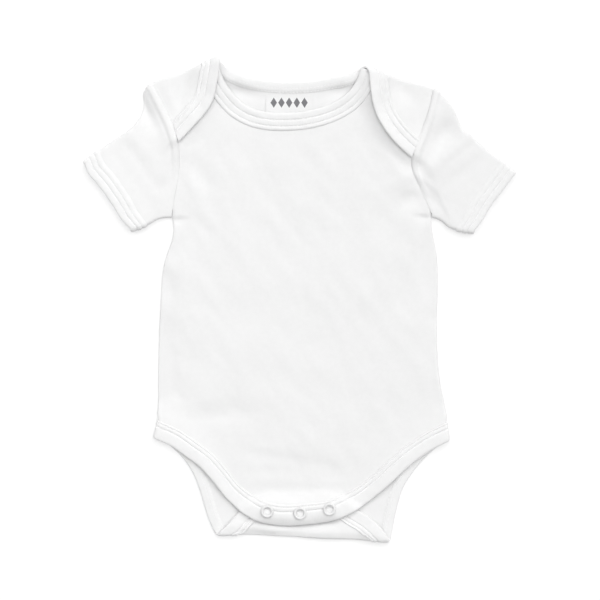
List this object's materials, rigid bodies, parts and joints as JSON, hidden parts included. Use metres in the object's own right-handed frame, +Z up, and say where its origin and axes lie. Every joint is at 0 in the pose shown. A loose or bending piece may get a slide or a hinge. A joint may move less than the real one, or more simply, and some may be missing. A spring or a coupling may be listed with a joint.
{
  "type": "baby bodysuit",
  "caption": "Short-sleeved baby bodysuit with lap shoulders, ribbed bindings and a snap crotch, laid flat face up.",
  "frame": {"origin": "on the surface that the garment lies on, under the middle of its overall box", "axes": "+Z up from that surface, +Y towards the neck, +X towards the wearer's left"},
  "size_m": [0.3386, 0.379, 0.0125],
  "materials": {
    "jersey": "matte single-jersey knit, off-white",
    "rib": "matte fine rib knit, white",
    "satin": "woven satin, soft sheen",
    "snap": "white enamelled, satin"
  },
  "bodies": {
    "root": {"front": "jersey", "back": "jersey", "sleeve_right": "jersey", "sleeve_left": "jersey", "neck_binding_front": "rib", "neck_binding_back": "rib", "leg_binding_front": "rib", "leg_binding_back": "rib", "cuff_binding_right": "rib", "cuff_binding_left": "rib", "neck_label": "satin", "snap_cap_1": "snap", "snap_cap_2": "snap", "snap_cap_3": "snap", "snap_stud_1": "snap", "snap_stud_2": "snap", "snap_stud_3": "snap"}
  },
  "joints": []
}
